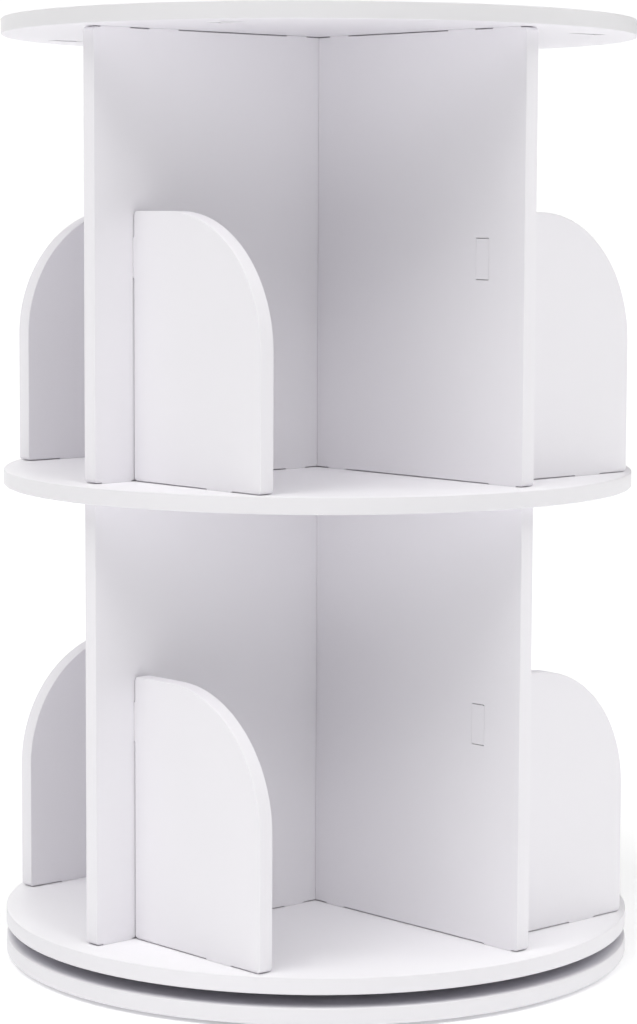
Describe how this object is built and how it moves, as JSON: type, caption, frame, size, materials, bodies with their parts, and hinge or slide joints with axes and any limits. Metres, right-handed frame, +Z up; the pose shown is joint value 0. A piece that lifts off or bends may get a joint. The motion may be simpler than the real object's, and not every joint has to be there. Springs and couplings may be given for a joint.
{
  "type": "rotating media tower",
  "caption": "Round free-standing media tower of white boards: crossed dividers part each tier into open compartments with arched fences, turning on a ball turntable.",
  "frame": {"origin": "on the floor under the centre of the tower, at the bottom of the foot pads", "axes": "+Z up along the turning axis; the dividers run along X and Y; the compartment shown facing forward is the one between +X and -Y"},
  "size_m": [0.4599, 0.46, 0.684],
  "materials": {
    "white_board": "smooth satin white film over a light composite board",
    "ring_metal": "turned aluminium",
    "screw_steel": "zinc plated",
    "ball_steel": "polished bearing steel",
    "cage_plastic": "moulded nylon",
    "foot_rubber": "matt rubber"
  },
  "bodies": {
    "base": {"base_board": "white_board", "foot_pads": "foot_rubber", "outer_race_ring": "ring_metal", "outer_ring_screws": "screw_steel"},
    "ball_cage": {"ball_cage": "cage_plastic", "bearing_balls": "ball_steel"},
    "tower": {"inner_race_ring": "ring_metal", "inner_ring_screws": "screw_steel", "turntable_board": "white_board", "lower_divider_side_to_side": "white_board", "lower_divider_front_to_back": "white_board", "lower_fence_right": "white_board", "lower_fence_back": "white_board", "lower_fence_left": "white_board", "lower_fence_front": "white_board", "middle_shelf": "white_board", "upper_divider_side_to_side": "white_board", "upper_divider_front_to_back": "white_board", "upper_fence_right": "white_board", "upper_fence_back": "white_board", "upper_fence_left": "white_board", "upper_fence_front": "white_board", "top_board": "white_board"}
  },
  "joints": [
    {"name": "tower_spin", "type": "hinge", "parent": "base", "child": "tower", "pos_m": [0, 0, 0.0195], "axis": [0, 0, 1], "continuous": true},
    {"name": "cage_spin", "type": "hinge", "parent": "base", "child": "ball_cage", "pos_m": [0, 0, 0.0195], "axis": [0, 0, 1], "continuous": true}
  ],
  "couplings": [
    {"joint": "cage_spin", "follows": "tower_spin", "ratio": 0.5}
  ]
}
